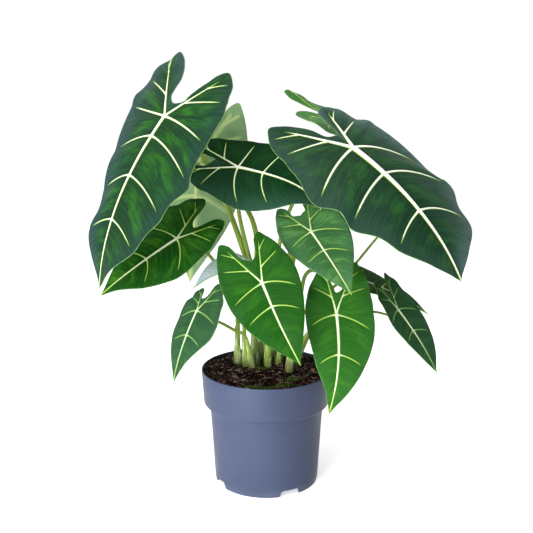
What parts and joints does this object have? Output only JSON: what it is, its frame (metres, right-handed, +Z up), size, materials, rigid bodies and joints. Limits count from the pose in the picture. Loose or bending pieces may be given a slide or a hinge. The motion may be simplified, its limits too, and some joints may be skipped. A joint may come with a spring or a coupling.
{
  "type": "potted alocasia plant",
  "caption": "Frydek alocasia with arrow-shaped velvety dark green leaves and raised cream veins, on long stalks, in a round blue-grey nursery pot with a wide band under its lip.",
  "frame": {"origin": "centre of the pot's underside, on the plane that it stands on", "axes": "+Z up along the pot's axis, -Y towards the front of the plant, +X to the right seen from the front"},
  "size_m": [0.4524, 0.2586, 0.5548],
  "materials": {
    "pot_plastic": "semi-gloss blue-grey moulded plastic",
    "potting_mix": "damp dark brown peat and coir",
    "blade_green_dark": "velvety deep green leaf",
    "blade_green_bright": "velvety bright green young leaf",
    "vein_cream": "raised cream white leaf vein",
    "stalk_green": "smooth olive green stalk"
  },
  "bodies": {
    "root": {"pot": "pot_plastic", "potting_mix": "potting_mix", "leaf_upper_left_blade": "blade_green_dark", "leaf_upper_left_veins": "vein_cream", "leaf_upper_left_stalk": "stalk_green", "leaf_lower_left_blade": "blade_green_bright", "leaf_lower_left_veins": "vein_cream", "leaf_lower_left_stalk": "stalk_green", "leaf_centre_blade": "blade_green_dark", "leaf_centre_veins": "vein_cream", "leaf_centre_stalk": "stalk_green", "leaf_upper_right_blade": "blade_green_dark", "leaf_upper_right_veins": "vein_cream", "leaf_upper_right_stalk": "stalk_green", "leaf_back_left_blade": "blade_green_dark", "leaf_back_left_veins": "vein_cream", "leaf_back_left_stalk": "stalk_green", "leaf_front_blade": "blade_green_bright", "leaf_front_veins": "vein_cream", "leaf_front_stalk": "stalk_green", "leaf_front_right_blade": "blade_green_bright", "leaf_front_right_veins": "vein_cream", "leaf_front_right_stalk": "stalk_green", "leaf_mid_right_blade": "blade_green_bright", "leaf_mid_right_veins": "vein_cream", "leaf_mid_right_stalk": "stalk_green", "leaf_far_right_blade": "blade_green_dark", "leaf_far_right_veins": "vein_cream", "leaf_far_right_stalk": "stalk_green", "leaf_right_level_blade": "blade_green_dark", "leaf_right_level_veins": "vein_cream", "leaf_right_level_stalk": "stalk_green", "leaf_small_left_blade": "blade_green_dark", "leaf_small_left_veins": "vein_cream", "leaf_small_left_stalk": "stalk_green", "leaf_top_back_blade": "blade_green_dark", "leaf_top_back_veins": "vein_cream", "leaf_top_back_stalk": "stalk_green", "leaf_left_level_blade": "blade_green_dark", "leaf_left_level_veins": "vein_cream", "leaf_left_level_stalk": "stalk_green", "leaf_hidden_right_blade": "blade_green_dark", "leaf_hidden_right_veins": "vein_cream", "leaf_hidden_right_stalk": "stalk_green"}
  },
  "joints": []
}
